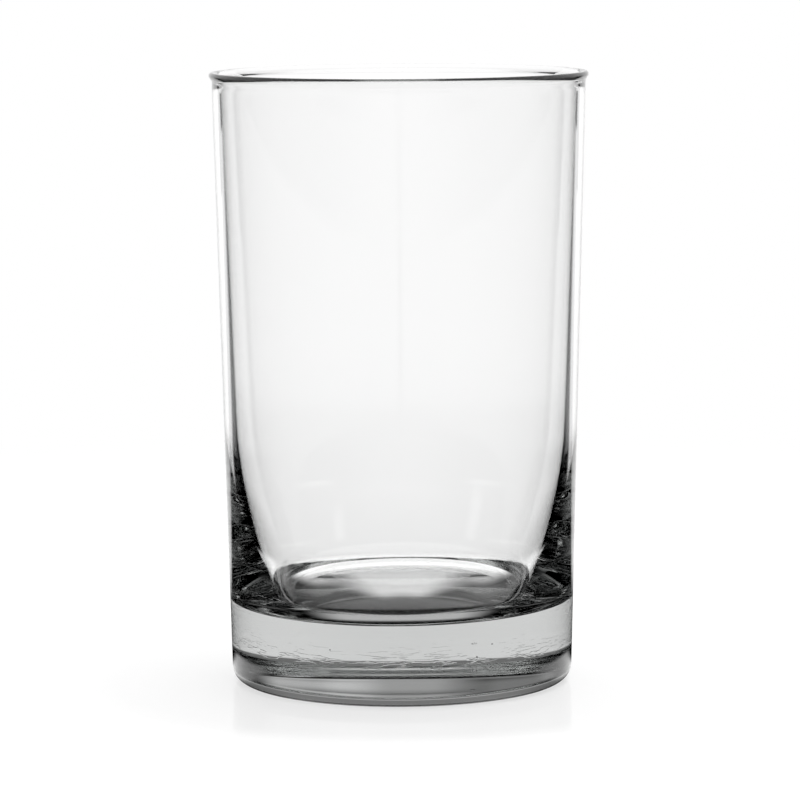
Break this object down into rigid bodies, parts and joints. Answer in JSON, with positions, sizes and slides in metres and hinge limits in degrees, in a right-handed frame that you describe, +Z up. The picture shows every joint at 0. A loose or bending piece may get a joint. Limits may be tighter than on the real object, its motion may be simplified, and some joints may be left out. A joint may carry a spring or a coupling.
{
  "type": "juice glass",
  "caption": "Clear straight-sided juice glass with a gentle taper, a thick solid foot, a rounded inner floor and a fire-polished bead round the mouth",
  "frame": {"origin": "centre of the foot, on the table plane that the glass stands on", "axes": "+Z up along the axis of the glass, out of the mouth; -Y faces the camera of the picture and +X is to its right"},
  "size_m": [0.0606, 0.0606, 0.098],
  "materials": {
    "clear_glass": "clear, polished"
  },
  "bodies": {
    "root": {"tumbler": "clear_glass"}
  },
  "joints": []
}
